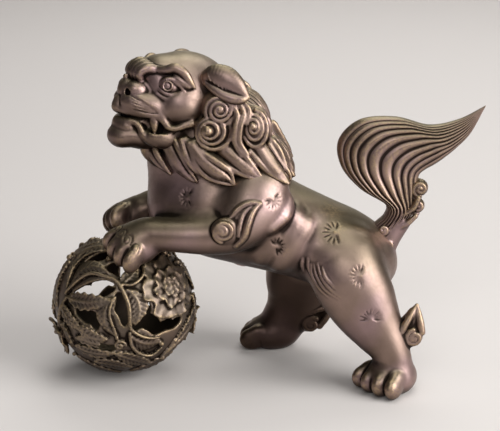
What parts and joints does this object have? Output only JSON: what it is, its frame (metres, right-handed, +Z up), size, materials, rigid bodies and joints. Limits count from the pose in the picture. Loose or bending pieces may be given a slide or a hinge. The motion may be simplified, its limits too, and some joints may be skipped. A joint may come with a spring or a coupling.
{
  "type": "lion dog statue",
  "caption": "Cast bronze guardian lion rearing with both forepaws on an openwork ball of peonies, tail raised in a flame-shaped plume.",
  "frame": {"origin": "on the surface it stands on, below the middle of the whole statue", "axes": "+X from the face towards the tail, +Y from the lion's left side towards its right side, +Z up"},
  "size_m": [0.2955, 0.1278, 0.2264],
  "materials": {
    "bronze": "dark brown patina rubbed to satin",
    "ball_bronze": "olive brown patina",
    "iron": "dull"
  },
  "bodies": {
    "root": {"trunk": "bronze", "head": "bronze", "mane": "bronze", "left_ear": "bronze", "right_ear": "bronze", "left_foreleg": "bronze", "right_foreleg": "bronze", "left_hind_leg": "bronze", "right_hind_leg": "bronze", "tail": "bronze", "tail_pin": "iron", "neck_pins": "bronze", "core_plugs": "bronze", "ball_upper_half": "ball_bronze", "ball_lower_half": "ball_bronze", "ball_pins": "ball_bronze", "paw_studs": "iron", "stud_washers": "iron", "stud_nuts": "iron"}
  },
  "joints": []
}
